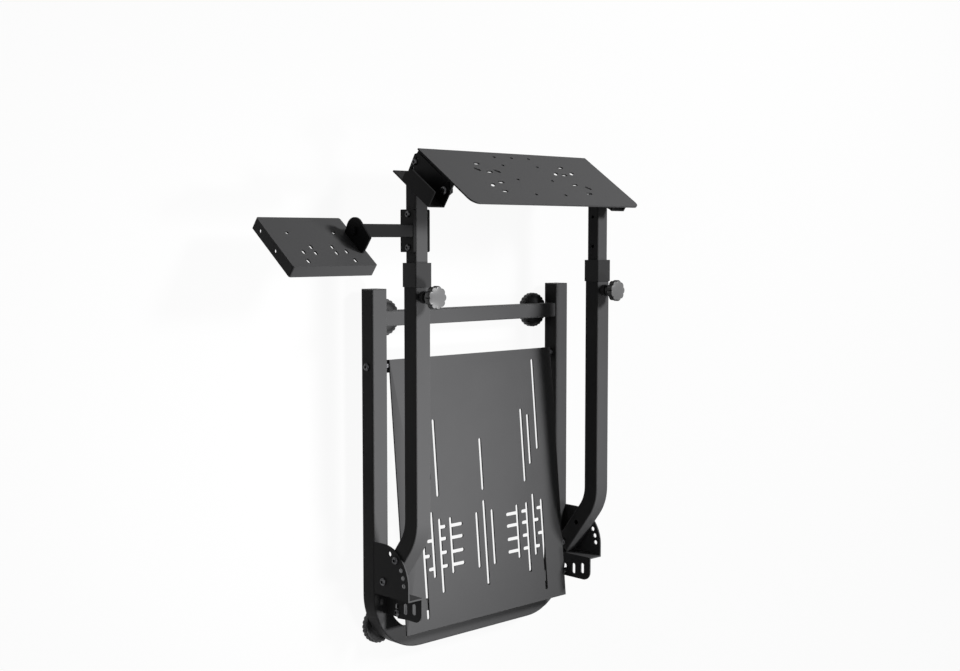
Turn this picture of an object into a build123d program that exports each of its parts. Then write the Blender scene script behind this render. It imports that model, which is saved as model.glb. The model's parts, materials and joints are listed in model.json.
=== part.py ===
"""Folding racing wheel stand, folded flat, resting on its four feet.

Millimetres. +Z is up from the floor. +Y runs along the base from its bend to the open leg ends,
and X runs across. Drawing coordinates are centred on the base frame's middle line and its bend.
"""
import os
from math import cos, radians, sin, tan

from build123d import *

os.makedirs("parts", exist_ok=True)

# Square tubes
base_tube = 30.0
mast_tube = 25.0
bar_tube = 25.0
tube_wall = 1.5
tube_corner = 2.5
weld_gap = 0.1

# Base frame and feet
frame_width = 457.6
leg_length = 601.0
bend_radius = 85.0
cap_thickness = 2.0
cap_plug_depth = 14.0
cap_clearance = 0.2
cross_bar_y = 552.5
foot_radius = 31.0
foot_thickness = 12.0
foot_neck_radius = 12.0
foot_neck_height = 3.0
foot_scallops = 24
foot_scallop_radius = 3.2
foot_x = 176.0
foot_bend_angle = 45.0

# Hinge of the uprights
pivot_y = 130.2
pivot_height = 23.8
lock_radius = 50.2
lock_angle = 37.3
lock_hole_angles = (18.0, 37.3, 59.5, 74.0, 88.2)
quadrant_radius = 61.4
quadrant_hole_radius = 4.0
sheet = 3.0
shelf_y = 107.0
tab_length = 42.2
tab_corner = 16.0
tab_slot_width = 7.5
tab_slot_length = 19.0
tab_slot_lean = 10.0
tab_slot_low = (80.1, 24.7)
tab_slot_pitch = 21.2

# Uprights and masts
upright_inset = 17.8
upright_height = 88.1
upright_top = 641.2
upright_tail = 10.0
upright_bend_radius = 70.0
sleeve_size = 33.1
sleeve_bottom = 606.5
sleeve_top = 644.2
mast_bottom = 400.0
slide_clearance = 0.3

# Clamp knobs
knob_y = 591.0
knob_radius = 18.5
knob_thickness = 13.0
knob_lobes = 9
knob_lobe_radius = 5.0
knob_gap = 21.9
boss_radius = 10.0
boss_height = 8.0

# Wheel board, tilted steeply while folded and level in use
plate = 2.5
wheel_side_gap = 16.65
wheel_depth = 155.1
wheel_slope = 55.63
wheel_front_y = 735.8
wheel_front_height = 200.0
wheel_wall_depth = 42.0
wheel_wall_front = 54.0
wheel_front_corner = 15.0
wheel_rear_corner = 3.0
wheel_wall_corner = 3.0
wheel_hole_radius = 3.0
tilt_bolt_s = 63.5
tilt_bolt_v = -19.6
tilt_arc_radius = 82.3
tilt_arc_angles = (4.8, -0.2, -7.8)
head_drop = 40.0
head_front = 51.0
head_rear = 152.0
head_width = 33.2
head_lip = 25.0
head_lip_rear = 126.0
ear_clearance = 0.45

# Gear shifter tray
tray_width = 151.6
tray_depth = 115.6
tray_rim = 19.0
tray_slope = 52.16
tray_reach = 252.1
tray_corner = 3.0
tray_rim_hole_depth = 10.5
tray_rim_hole_rear = 96.0
tray_rim_hole_front = 49.0
arm_size = 20.0
arm_offset = 41.8
arm_height = 90.0
arm_run = 51.7
arm_drop = 40.0
ear_inset = 12.0
ear_round = 20.0
ear_toe = 36.3
ear_heel = 34.3
ear_toe_top = 14.3
ear_toe_low = 6.0
clamp_length = 66.2
clamp_width = 31.0
clamp_shift = 2.6
clamp_pad = 2.5
clamp_hole_pitch = 51.5

# Pedal board
pedal_side_gap = 9.35
pedal_length = 451.6
pedal_slope = 5.34
pedal_end_y = 35.4
pedal_end_height = 35.75
pedal_flange_depth = 22.0
pedal_hinge_y = 475.0
slot_width = 6.0
rib_s = 41.0
rib_width = 17.0
rib_depth = 12.0
pedal_lock_y = 75.0

# Bolts
bolt_radius = 4.0
bolt_clearance = 0.3
bolt_head_radius = 6.5
bolt_head_height = 4.0
small_bolt_radius = 3.0
small_head_radius = 5.0
small_head_height = 3.0
low_nut_height = 3.2
lock_nut_height = 8.0
stub_gap = 0.3

# Heights above the floor
foot_height = foot_neck_height + foot_thickness
frame_top = foot_height + base_tube
frame_mid = foot_height + base_tube / 2
pivot_z = frame_top + pivot_height
upright_z = frame_top + upright_height

# Widths that follow the base frame
upright_x = frame_width / 2 - upright_inset
leg_x = frame_width / 2 - base_tube / 2
wheel_width = 2 * (upright_x - wheel_side_gap)
pedal_width = frame_width - 2 * base_tube - 2 * pedal_side_gap
mast_face = upright_x + mast_tube / 2

# The shifter hangs from the mast, a little below the wheel board
arm_y = wheel_front_y - arm_offset
tray_front_y = arm_y - arm_run
tray_front_height = arm_height + arm_drop
tray_outer = mast_face + tray_reach

# The origin is the middle of the folded stand's own box, at floor level
wheel_fall = radians(wheel_slope)
box_left = -tray_outer
box_right = frame_width / 2 + bolt_head_height
box_rear = wheel_front_y + wheel_depth * cos(wheel_fall)
mid_x = (box_left + box_right) / 2
mid_y = box_rear / 2


def level(height):
    """Plane parallel to the floor at a height."""
    return Plane(origin=(-mid_x, -mid_y, height), x_dir=(1, 0, 0), z_dir=(0, 0, 1))


def across(x):
    """Plane square to X, where a sketch's own axes are Y and Z."""
    return Plane(origin=(x - mid_x, -mid_y, 0), x_dir=(0, 1, 0), z_dir=(1, 0, 0))


def upright_plane(y):
    """Plane square to Y, where a sketch's own axes are X and Z."""
    return Plane(origin=(-mid_x, y - mid_y, 0), x_dir=(1, 0, 0), z_dir=(0, -1, 0))


def board(y, height, slope, x=0.0):
    """Upper face of a sloping board whose sketch Y runs down the slope from a front edge."""
    fall = radians(slope)
    normal = (0, sin(fall), cos(fall))
    return Plane(origin=(x - mid_x, y - mid_y, frame_top + height), x_dir=(1, 0, 0), z_dir=normal)


def board_side(y, height, slope, x):
    """Plane square to X through a board's front edge; its sketch Y is the board's normal."""
    fall = radians(slope)
    down = (0, cos(fall), -sin(fall))
    return Plane(origin=(x - mid_x, y - mid_y, frame_top + height), x_dir=down, z_dir=(1, 0, 0))


def wheel_side(x):
    """Side plane of the wheel board."""
    return board_side(wheel_front_y, wheel_front_height, wheel_slope, x)


def tray_side(x):
    """Side plane of the shifter tray."""
    return board_side(tray_front_y, tray_front_height, tray_slope, x)


def pedal_side(x):
    """Side plane of the pedal board."""
    return board_side(pedal_end_y, pedal_end_height, pedal_slope, x)


def board_point(y, height, slope, s, v):
    """Y and Z of a point s down a board's slope and v above its face."""
    fall = radians(slope)
    point_y = y + s * cos(fall) + v * sin(fall)
    point_z = frame_top + height - s * sin(fall) + v * cos(fall)
    return point_y, point_z


def polar(centre, radius, angle):
    """Point at an angle, in degrees, round a centre."""
    return centre[0] + radius * cos(radians(angle)), centre[1] + radius * sin(radians(angle))


def save(piece, name):
    """Labels a finished piece and writes its STEP file."""
    piece.part.label = name
    export_step(piece.part, f"parts/{name}.step")


pivot = (pivot_y, pivot_z)
lock = polar(pivot, lock_radius, lock_angle)
pedal_hinge = (pedal_hinge_y, frame_mid)
elbow = (pivot_y + (upright_z - pivot_z) / tan(radians(lock_angle)), upright_z)
tail_end = polar(pivot, -upright_tail, lock_angle)
tilt_pin = (tilt_bolt_s, tilt_bolt_v)


# Base frame: one tube bent into a U
with BuildPart() as base_frame:
    with BuildLine(level(frame_mid)):
        base_route = FilletPolyline(
            (-leg_x, leg_length - cap_thickness),
            (-leg_x, base_tube / 2),
            (leg_x, base_tube / 2),
            (leg_x, leg_length - cap_thickness),
            radius=bend_radius,
        )
    with BuildSketch(Plane(origin=base_route @ 0, x_dir=(1, 0, 0), z_dir=base_route % 0)):
        RectangleRounded(base_tube, base_tube, tube_corner)
        RectangleRounded(base_tube - 2 * tube_wall, base_tube - 2 * tube_wall, 1, mode=Mode.SUBTRACT)
    sweep()
    with BuildSketch(across(-frame_width / 2)):
        with Locations(pedal_hinge):
            Circle(bolt_radius + weld_gap)
    extrude(amount=frame_width, mode=Mode.SUBTRACT)
save(base_frame, "base_frame")

# Square bar between the legs
with BuildPart() as cross_bar:
    bar_reach = frame_width / 2 - base_tube
    with BuildSketch(across(-bar_reach)):
        with Locations((cross_bar_y, frame_mid)):
            RectangleRounded(bar_tube, bar_tube, tube_corner)
            RectangleRounded(bar_tube - 2 * tube_wall, bar_tube - 2 * tube_wall, 1, mode=Mode.SUBTRACT)
    extrude(amount=2 * bar_reach)
save(cross_bar, "cross_bar")


def leg_cap(side, sign):
    """Plastic plug that closes a leg's open end."""
    with BuildPart() as cap:
        with BuildSketch(upright_plane(leg_length)):
            with Locations((sign * leg_x, frame_mid)):
                RectangleRounded(base_tube, base_tube, tube_corner)
        extrude(amount=cap_thickness)
        plug = base_tube - 2 * tube_wall - 2 * cap_clearance
        with BuildSketch(upright_plane(leg_length - cap_thickness)):
            with Locations((sign * leg_x, frame_mid)):
                RectangleRounded(plug, plug, 1)
                Rectangle(plug - 4, plug - 4, mode=Mode.SUBTRACT)
        extrude(amount=cap_plug_depth)
        fillet(cap.faces().sort_by(Axis.Y)[-1].edges(), 0.8)
    save(cap, f"leg_cap_{side}")


def foot(name, x, y, seat):
    """Round foot with a scalloped grip, on a short neck up to its seat."""
    with BuildPart() as disc:
        with BuildSketch(level(0)):
            with Locations((x, y)):
                Circle(foot_radius)
                with PolarLocations(foot_radius + foot_scallop_radius * 0.55, foot_scallops):
                    Circle(foot_scallop_radius, mode=Mode.SUBTRACT)
        extrude(amount=foot_thickness)
        with BuildSketch(level(foot_thickness)):
            with Locations((x, y)):
                Circle(foot_neck_radius)
        extrude(amount=seat - foot_thickness)
    save(disc, name)


def tab_slot(step):
    """Y and Z of the middle of one of the tab's slots, counted from the leg."""
    rise = step * tab_slot_pitch
    return tab_slot_low[0] + rise * tan(radians(tab_slot_lean)), frame_top + tab_slot_low[1] + rise


def hinge_bracket(side, sign):
    """Folded sheet on the leg: quadrant with the lock holes, shelf and slotted tab."""
    outer = sign * frame_width / 2
    inner = outer - sign * base_tube
    bracket_top = pivot_z + quadrant_radius
    with BuildPart() as bracket:
        with BuildSketch(across(outer)):
            with BuildLine():
                Polyline(
                    (pivot_y + quadrant_radius, pivot_z),
                    (pivot_y + quadrant_radius, frame_top),
                    (shelf_y, frame_top),
                    (shelf_y, bracket_top),
                    (pivot_y, bracket_top),
                )
                CenterArc(pivot, quadrant_radius, 0, 90)
            make_face()
            for angle in lock_hole_angles:
                with Locations(polar(pivot, lock_radius, angle)):
                    Circle(quadrant_hole_radius, mode=Mode.SUBTRACT)
            with Locations(pivot):
                Circle(bolt_radius + weld_gap, mode=Mode.SUBTRACT)
        extrude(amount=-sign * plate)
        with BuildSketch(level(frame_top)):
            with Locations(((outer + inner) / 2, shelf_y + plate / 2)):
                Rectangle(base_tube, plate)
        extrude(amount=bracket_top - frame_top)
        with BuildSketch(across(inner)):
            with Locations((shelf_y + plate, frame_top)):
                tab = Rectangle(tab_length, bracket_top - frame_top, align=(Align.MAX, Align.MIN))
            fillet(tab.vertices().group_by(Axis.X)[0].sort_by(Axis.Y)[-1], tab_corner)
            for step in range(3):
                with Locations(tab_slot(step)):
                    SlotOverall(tab_slot_length, tab_slot_width, mode=Mode.SUBTRACT)
        extrude(amount=sign * plate)
    save(bracket, f"hinge_bracket_{side}")


def pin(plane, point, radius, start, end):
    """Round bar along a side plane's normal, added to the part under construction."""
    with BuildSketch(plane.offset(start)) as disc:
        with Locations(point):
            Circle(radius)
    extrude(disc.sketch, amount=end - start)


def upright_bolts(side, sign):
    """Pivot bolt through the quadrant and the upright, and the lock bolt in the quadrant."""
    face = sign * frame_width / 2
    inside = sign * (upright_x - base_tube / 2 - weld_gap)
    with BuildPart() as bolt:
        pin(across(0), pivot, bolt_radius, face, inside)
        pin(across(0), pivot, bolt_head_radius, face, face + sign * bolt_head_height)
        pin(across(0), pivot, bolt_head_radius, inside, inside - sign * low_nut_height)
        fillet(bolt.edges().filter_by(GeomType.CIRCLE).sort_by(Axis.X)[-1 if sign > 0 else 0], 1.2)
    save(bolt, f"pivot_bolt_{side}")
    stub = sign * (upright_x + base_tube / 2 + stub_gap)
    with BuildPart() as peg:
        pin(across(0), lock, bolt_radius - weld_gap, face, stub)
        pin(across(0), lock, bolt_head_radius, face, face + sign * bolt_head_height)
        fillet(peg.edges().filter_by(GeomType.CIRCLE).sort_by(Axis.X)[-1 if sign > 0 else 0], 1.2)
    save(peg, f"lock_bolt_{side}")


def upright(side, sign):
    """Outer tube, bent near its pivot, with the holes for its two bolts and the clamp knob."""
    x = sign * upright_x
    with BuildPart() as tube:
        with BuildLine(across(x)):
            route = FilletPolyline((upright_top, upright_z), elbow, tail_end, radius=upright_bend_radius)
        with BuildSketch(Plane(origin=route @ 0, x_dir=(1, 0, 0), z_dir=route % 0)):
            RectangleRounded(base_tube, base_tube, tube_corner)
            RectangleRounded(base_tube - 2 * tube_wall, base_tube - 2 * tube_wall, 1, mode=Mode.SUBTRACT)
        sweep()
        with BuildSketch(across(x - base_tube)):
            with Locations(pivot, lock):
                Circle(bolt_radius + bolt_clearance)
        extrude(amount=2 * base_tube, mode=Mode.SUBTRACT)
        with BuildSketch(level(upright_z + base_tube / 2 - weld_gap)):
            with Locations((x, knob_y)):
                Circle(boss_radius)
        extrude(amount=boss_height)
        with BuildSketch(level(upright_z)):
            with Locations((x, knob_y)):
                Circle(bolt_radius + bolt_clearance)
        extrude(amount=base_tube, mode=Mode.SUBTRACT)
    save(tube, f"upright_{side}")


def sleeve(side, sign):
    """Plastic collar on top of an upright, which guides the mast."""
    centre = (sign * upright_x, upright_z)
    with BuildPart() as collar:
        with BuildSketch(upright_plane(sleeve_top)):
            with Locations(centre):
                RectangleRounded(sleeve_size, sleeve_size, tube_corner)
        extrude(amount=sleeve_top - sleeve_bottom)
        with BuildSketch(upright_plane(upright_top + weld_gap)):
            with Locations(centre):
                RectangleRounded(base_tube + 2 * weld_gap, base_tube + 2 * weld_gap, tube_corner)
        extrude(amount=upright_top + weld_gap - sleeve_bottom, mode=Mode.SUBTRACT)
        with BuildSketch(upright_plane(sleeve_top)):
            with Locations(centre):
                Rectangle(mast_tube + 2 * slide_clearance, mast_tube + 2 * slide_clearance)
        extrude(amount=sleeve_top - upright_top, mode=Mode.SUBTRACT)
    save(collar, f"sleeve_{side}")


def knob(side, sign):
    """Lobed clamp knob with its screw, which ends just short of the mast."""
    x = sign * upright_x
    back = upright_z + base_tube / 2 + knob_gap
    tip = upright_z + mast_tube / 2 + 2 * slide_clearance
    with BuildPart() as grip:
        with BuildSketch(level(back)):
            with Locations((x, knob_y)):
                Circle(knob_radius - 2)
                with PolarLocations(knob_radius - knob_lobe_radius, knob_lobes):
                    Circle(knob_lobe_radius)
        extrude(amount=knob_thickness)
        fillet(grip.faces().sort_by(Axis.Z)[-1].edges(), 1.5)
        with BuildSketch(level(back)):
            with Locations((x, knob_y)):
                Circle(boss_radius)
        extrude(amount=-(knob_gap - boss_height - 1), taper=8)
        with BuildSketch(level(tip)):
            with Locations((x, knob_y)):
                Circle(bolt_radius)
        extrude(amount=back - tip)
    save(grip, f"knob_{side}")


def mast(side, sign):
    """Inner tube, cut to the wheel board's slope at the top, with the shifter's bolt holes."""
    centre = (sign * upright_x, upright_z)
    with BuildPart() as tube:
        with BuildSketch(upright_plane(box_rear)):
            with Locations(centre):
                RectangleRounded(mast_tube, mast_tube, tube_corner)
                RectangleRounded(mast_tube - 2 * tube_wall, mast_tube - 2 * tube_wall, 1, mode=Mode.SUBTRACT)
        extrude(amount=box_rear - mast_bottom)
        with BuildSketch(wheel_side(sign * upright_x - mast_tube)):
            with Locations((0, -head_drop - plate)):
                Rectangle(6 * wheel_depth, 3 * wheel_depth, align=(Align.CENTER, Align.MIN))
        extrude(amount=2 * mast_tube, mode=Mode.SUBTRACT)
        with BuildSketch(across(sign * upright_x - mast_tube)):
            for step in (-0.5, 0.5):
                with Locations((arm_y + step * clamp_hole_pitch, upright_z)):
                    Circle(small_bolt_radius + weld_gap)
        extrude(amount=2 * mast_tube, mode=Mode.SUBTRACT)
    save(tube, f"mast_{side}")


def head_bracket(side, sign):
    """Channel on the mast's top: outer lip, seat and the ear that carries the wheel board."""
    ear = sign * (wheel_width / 2 + ear_clearance)
    lip = ear + sign * head_width
    with BuildPart() as bracket:
        with BuildSketch(wheel_side(ear)):
            with BuildLine():
                Polyline(
                    (head_front, -head_drop - plate),
                    (head_rear, -head_drop - plate),
                    (head_rear + 2, -10),
                    (head_rear - 4, -4),
                    (head_front + 12, -4),
                    (head_front, -18),
                    close=True,
                )
            make_face()
            with Locations(tilt_pin):
                Circle(bolt_radius + weld_gap, mode=Mode.SUBTRACT)
            for angle in tilt_arc_angles:
                with Locations(polar(tilt_pin, tilt_arc_radius, angle)):
                    Circle(small_bolt_radius + weld_gap, mode=Mode.SUBTRACT)
        extrude(amount=sign * plate)
        seat_middle = (head_front + head_rear) / 2
        with BuildSketch(wheel_side(ear)):
            with Locations((seat_middle, -head_drop - plate / 2)):
                Rectangle(head_rear - head_front, plate)
        extrude(amount=lip - ear)
        with BuildSketch(wheel_side(lip)):
            with BuildLine():
                Polyline(
                    (head_front, -head_drop - plate),
                    (head_lip_rear, -head_drop - plate),
                    (head_lip_rear, head_lip - head_drop - 12),
                    (head_lip_rear - 12, head_lip - head_drop),
                    (head_front, head_lip - head_drop),
                    close=True,
                )
            make_face()
        extrude(amount=-sign * plate)
    save(bracket, f"head_bracket_{side}")


def wheel_bolts(side, sign):
    """Tilt bolt through ear and board wall, and the bolt in the middle hole of the ear's arc."""
    face = sign * (wheel_width / 2 + ear_clearance + plate)
    inside = sign * (wheel_width / 2 - plate - weld_gap)
    out = 1 if sign > 0 else 0
    with BuildPart() as bolt:
        pin(wheel_side(0), tilt_pin, bolt_radius, face, inside)
        pin(wheel_side(0), tilt_pin, bolt_head_radius, face, face + sign * bolt_head_height)
        pin(wheel_side(0), tilt_pin, bolt_head_radius, inside, inside - sign * lock_nut_height)
        fillet(bolt.edges().filter_by(GeomType.CIRCLE).sort_by(Axis.X)[-out], 1.2)
    save(bolt, f"tilt_bolt_{side}")
    point = polar(tilt_pin, tilt_arc_radius, tilt_arc_angles[1])
    stub = sign * (wheel_width / 2 + stub_gap)
    with BuildPart() as peg:
        pin(wheel_side(0), point, small_bolt_radius, face, stub)
        pin(wheel_side(0), point, small_head_radius, face, face + sign * small_head_height)
        fillet(peg.edges().filter_by(GeomType.CIRCLE).sort_by(Axis.X)[-out], 1.0)
    save(peg, f"tilt_lock_{side}")


for side, sign in (("left", -1), ("right", 1)):
    leg_cap(side, sign)
    foot(f"foot_rear_{side}", sign * foot_x, cross_bar_y, frame_mid - bar_tube / 2)
    bend_x = leg_x - bend_radius + bend_radius * cos(radians(foot_bend_angle))
    bend_y = base_tube / 2 + bend_radius - bend_radius * sin(radians(foot_bend_angle))
    foot(f"foot_front_{side}", sign * bend_x, bend_y, foot_height)
    hinge_bracket(side, sign)
    upright_bolts(side, sign)
    upright(side, sign)
    sleeve(side, sign)
    knob(side, sign)
    mast(side, sign)
    head_bracket(side, sign)
    wheel_bolts(side, sign)

# Bolts in the lowest tab slots, which hold the pedal board at its angle
for side, sign in (("left", -1), ("right", 1)):
    tab_face = sign * (frame_width / 2 - base_tube + plate)
    tip = sign * (pedal_width / 2 + stub_gap)
    pedal_lock = (pedal_lock_y, tab_slot(0)[1])
    with BuildPart() as lock_peg:
        pin(across(0), pedal_lock, small_bolt_radius, tab_face, tip)
        pin(across(0), pedal_lock, bolt_head_radius, tab_face, tab_face + sign * low_nut_height)
    save(lock_peg, f"pedal_lock_{side}")

# Shoulder bolts that the pedal board hangs on
for side, sign in (("left", -1), ("right", 1)):
    with BuildPart() as pedal_bolt:
        leg_face = sign * frame_width / 2
        flange_face = sign * (pedal_width / 2)
        inner_face = sign * (pedal_width / 2 - plate - bolt_clearance)
        pin(across(0), pedal_hinge, bolt_radius, leg_face, inner_face)
        pin(across(0), pedal_hinge, bolt_head_radius, leg_face, leg_face + sign * bolt_head_height)
        collar_start = leg_face - sign * base_tube
        pin(across(0), pedal_hinge, 2 * bolt_radius, collar_start, flange_face + sign * bolt_clearance)
        pin(across(0), pedal_hinge, bolt_head_radius, inner_face, inner_face - sign * bolt_head_height)
    save(pedal_bolt, f"pedal_bolt_{side}")

# Pedal board: one folded sheet with its pattern of mounting slots
comb = (
    # distance from the middle line, lower end, upper end, tine reach, tine positions
    (141.0, 17.7, 181.0, -10.0, (166.0, 121.0)),
    (120.5, 83.0, 193.0, 10.0, (145.5, 98.5)),
    (103.5, 55.0, 180.0, -11.0, (165.0, 145.0, 122.0, 99.0)),
    (79.0, 84.0, 179.0, -24.0, (164.5, 144.0, 120.5, 98.5)),
    (18.2, 83.0, 179.0, 0.0, ()),
    (103.8, 216.5, 346.5, 0.0, ()),
    (119.8, 245.9, 335.5, 0.0, ()),
    (140.0, 270.6, 432.6, 0.0, ()),
)
middle_slots = ((50.3, 197.3), (214.6, 304.6))


with BuildPart() as pedal_board:
    face_plane = board(pedal_end_y, pedal_end_height, pedal_slope)
    with BuildSketch(face_plane):
        Rectangle(pedal_width, pedal_length, align=(Align.CENTER, Align.MIN))
        for low, high in middle_slots:
            with Locations(Location((0, (low + high) / 2), 90)):
                SlotOverall(high - low, slot_width, mode=Mode.SUBTRACT)
        for offset_x, low, high, reach, tines in comb:
            for sign in (-1, 1):
                with Locations(Location((sign * offset_x, (low + high) / 2), 90)):
                    SlotOverall(high - low, slot_width, mode=Mode.SUBTRACT)
                for tine in tines:
                    with Locations((sign * (offset_x + reach / 2), tine)):
                        SlotOverall(abs(reach) + slot_width, slot_width, mode=Mode.SUBTRACT)
    extrude(amount=-plate)
    for sign in (-1, 1):
        with BuildSketch(pedal_side(sign * pedal_width / 2)):
            flange = Rectangle(pedal_length, pedal_flange_depth, align=(Align.MIN, Align.MAX))
            fillet(flange.vertices().group_by(Axis.Y)[0], 6)
        extrude(amount=-sign * plate)
    with BuildSketch(across(-frame_width / 2)):
        with Locations(pedal_hinge):
            Circle(bolt_radius + bolt_clearance)
    extrude(amount=frame_width, mode=Mode.SUBTRACT)
save(pedal_board, "pedal_board")

# Stiffening bar behind the board's lower end
with BuildPart() as pedal_rib:
    rib_reach = pedal_width / 2 - plate
    with BuildSketch(face_plane.offset(-plate)):
        with Locations((0, rib_s)):
            Rectangle(2 * rib_reach, rib_width)
    extrude(amount=-rib_depth)
save(pedal_rib, "pedal_rib")

# Wheel board: top sheet with two side walls that carry the tilt bolts
round_holes = ((0.0, 140.5), (40.0, 140.5), (40.0, 115.4), (40.0, 73.0), (34.5, 29.5))
long_holes = (
    # distance from the middle line, distance from the front edge, turn
    (98.0, 117.4, 0.0),
    (110.0, 99.0, 35.0),
    (87.0, 93.5, 0.0),
    (68.5, 96.0, 35.0),
    (86.0, 63.0, 0.0),
    (111.0, 54.0, -35.0),
    (98.5, 36.8, 0.0),
)
long_hole_length = 13.0
with BuildPart() as wheel_board:
    with BuildSketch(board(wheel_front_y, wheel_front_height, wheel_slope)):
        top = Rectangle(wheel_width, wheel_depth, align=(Align.CENTER, Align.MIN))
        fillet(top.vertices().group_by(Axis.Y)[0], wheel_front_corner)
        fillet(top.vertices().group_by(Axis.Y)[-1], wheel_rear_corner)
        for hole_x, hole_s in round_holes:
            for sign in (-1, 1):
                with Locations((sign * hole_x, hole_s)):
                    Circle(wheel_hole_radius, mode=Mode.SUBTRACT)
        for hole_x, hole_s, turn in long_holes:
            for sign in (-1, 1):
                with Locations(Location((sign * hole_x, hole_s), sign * turn)):
                    SlotOverall(long_hole_length, 2 * wheel_hole_radius, mode=Mode.SUBTRACT)
    extrude(amount=-plate)
    for sign in (-1, 1):
        with BuildSketch(wheel_side(sign * wheel_width / 2)):
            with BuildLine():
                Polyline(
                    (wheel_wall_front, 0),
                    (wheel_wall_front, -wheel_wall_depth + wheel_wall_corner),
                    (wheel_wall_front + wheel_wall_corner, -wheel_wall_depth),
                    (wheel_depth, -wheel_wall_depth),
                    (wheel_depth - wheel_rear_corner, 0),
                    close=True,
                )
            make_face()
            with Locations(tilt_pin):
                Circle(bolt_radius + bolt_clearance, mode=Mode.SUBTRACT)
            for angle in tilt_arc_angles:
                with Locations(polar(tilt_pin, tilt_arc_radius, angle)):
                    Circle(small_bolt_radius + bolt_clearance, mode=Mode.SUBTRACT)
        extrude(amount=-sign * plate)
save(wheel_board, "wheel_board")

# Gear shifter tray: sheet with a rim folded down all round
tray_x = -tray_outer + tray_width / 2
tray_round_holes = ((42.5, 79.0),)
tray_slots = ((19.2, 45.5), (38.9, 34.2), (18.9, 31.6), (42.5, 13.2))
with BuildPart() as shifter_tray:
    tray_plane = board(tray_front_y, tray_front_height, tray_slope, tray_x)
    with BuildSketch(tray_plane):
        outline = Rectangle(tray_width, tray_depth, align=(Align.CENTER, Align.MIN))
        fillet(outline.vertices(), tray_corner)
    extrude(amount=-tray_rim)
    with BuildSketch(tray_plane.offset(-plate)):
        with Locations((0, plate)):
            Rectangle(tray_width - 2 * plate, tray_depth - 2 * plate, align=(Align.CENTER, Align.MIN))
    extrude(amount=-tray_rim, mode=Mode.SUBTRACT)
    with BuildSketch(tray_plane):
        for sign in (-1, 1):
            for hole_x, hole_s in tray_round_holes:
                with Locations((sign * hole_x, hole_s)):
                    Circle(wheel_hole_radius)
            for hole_x, hole_s in tray_slots:
                with Locations(Location((sign * hole_x, hole_s), 90)):
                    SlotOverall(10, 2 * wheel_hole_radius - 1)
    extrude(amount=-2 * plate, mode=Mode.SUBTRACT)
    with BuildSketch(tray_side(-tray_outer)):
        for hole_s in (tray_rim_hole_front, tray_rim_hole_rear):
            with Locations((hole_s, -tray_rim_hole_depth)):
                Circle(small_bolt_radius)
    extrude(amount=2 * plate, mode=Mode.SUBTRACT)
save(shifter_tray, "shifter_tray")

# Ear that stands on the tray and turns on the arm's end
ear_x = -tray_outer + tray_width - ear_inset
arm_point = (arm_y, frame_top + arm_height)
tray_fall = radians(tray_slope)
with BuildPart() as tray_ear:
    arm_s = arm_run * cos(tray_fall) + arm_drop * sin(tray_fall)
    arm_v = arm_run * sin(tray_fall) - arm_drop * cos(tray_fall)
    with BuildSketch(tray_side(ear_x)):
        with Locations((arm_s, arm_v)):
            Circle(ear_round)
        with BuildLine():
            Polyline(
                (arm_s + ear_round * 0.86, 0),
                (arm_s + ear_round, arm_v),
                (arm_s - 2.6, arm_v + ear_round - 0.2),
                (arm_s - ear_toe, arm_v + ear_toe_top),
                (arm_s - ear_toe, arm_v - ear_toe_low),
                (arm_s - ear_heel, 0),
                close=True,
            )
        make_face()
        with Locations((arm_s, arm_v)):
            Circle(bolt_radius + bolt_clearance, mode=Mode.SUBTRACT)
        with Locations((arm_s, 0)):
            Rectangle(tray_depth, tray_rim, align=(Align.CENTER, Align.MAX), mode=Mode.SUBTRACT)
    extrude(amount=sheet)
save(tray_ear, "tray_ear")

# Arm from the mast's clamp out to the tray, with the clamp's outer plate
clamp_face = -mast_face
with BuildPart() as shifter_arm:
    arm_end = ear_x + sheet + bolt_clearance
    with BuildSketch(across(clamp_face - sheet - clamp_pad)):
        with Locations(arm_point):
            RectangleRounded(arm_size, arm_size, 2)
            RectangleRounded(arm_size - 2 * tube_wall, arm_size - 2 * tube_wall, 1, mode=Mode.SUBTRACT)
    extrude(amount=arm_end - clamp_face + sheet + clamp_pad)
    with BuildSketch(across(arm_end)):
        with Locations(arm_point):
            RectangleRounded(arm_size, arm_size, 2)
    extrude(amount=sheet)
    with BuildSketch(across(clamp_face)):
        with Locations((arm_y, upright_z - clamp_shift)):
            RectangleRounded(clamp_length, clamp_width, 1.5)
        for step in (-0.5, 0.5):
            with Locations((arm_y + step * clamp_hole_pitch, upright_z)):
                Circle(small_bolt_radius + weld_gap, mode=Mode.SUBTRACT)
    extrude(amount=-sheet - clamp_pad)
    pin(across(0), arm_point, bolt_radius, arm_end, ear_x - bolt_clearance)
    pin(across(0), arm_point, bolt_head_radius, ear_x - bolt_clearance, ear_x - bolt_head_height)
save(shifter_arm, "shifter_arm")

with BuildPart() as clamp_plate:
    with BuildSketch(across(clamp_face + mast_tube)):
        with Locations((arm_y, upright_z - clamp_shift)):
            RectangleRounded(clamp_length, clamp_width, 3)
        for step in (-0.5, 0.5):
            with Locations((arm_y + step * clamp_hole_pitch, upright_z)):
                Circle(small_bolt_radius + weld_gap, mode=Mode.SUBTRACT)
    extrude(amount=sheet)
save(clamp_plate, "clamp_plate")

with BuildPart() as clamp_bolts:
    outer = clamp_face - sheet - clamp_pad
    inner = clamp_face + mast_tube + sheet
    for step in (-0.5, 0.5):
        point = (arm_y + step * clamp_hole_pitch, upright_z)
        pin(across(0), point, small_bolt_radius, outer, inner)
        pin(across(0), point, small_head_radius, outer - small_head_height, outer)
        pin(across(0), point, small_head_radius, inner, inner + small_head_height)
save(clamp_bolts, "clamp_bolts")
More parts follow.
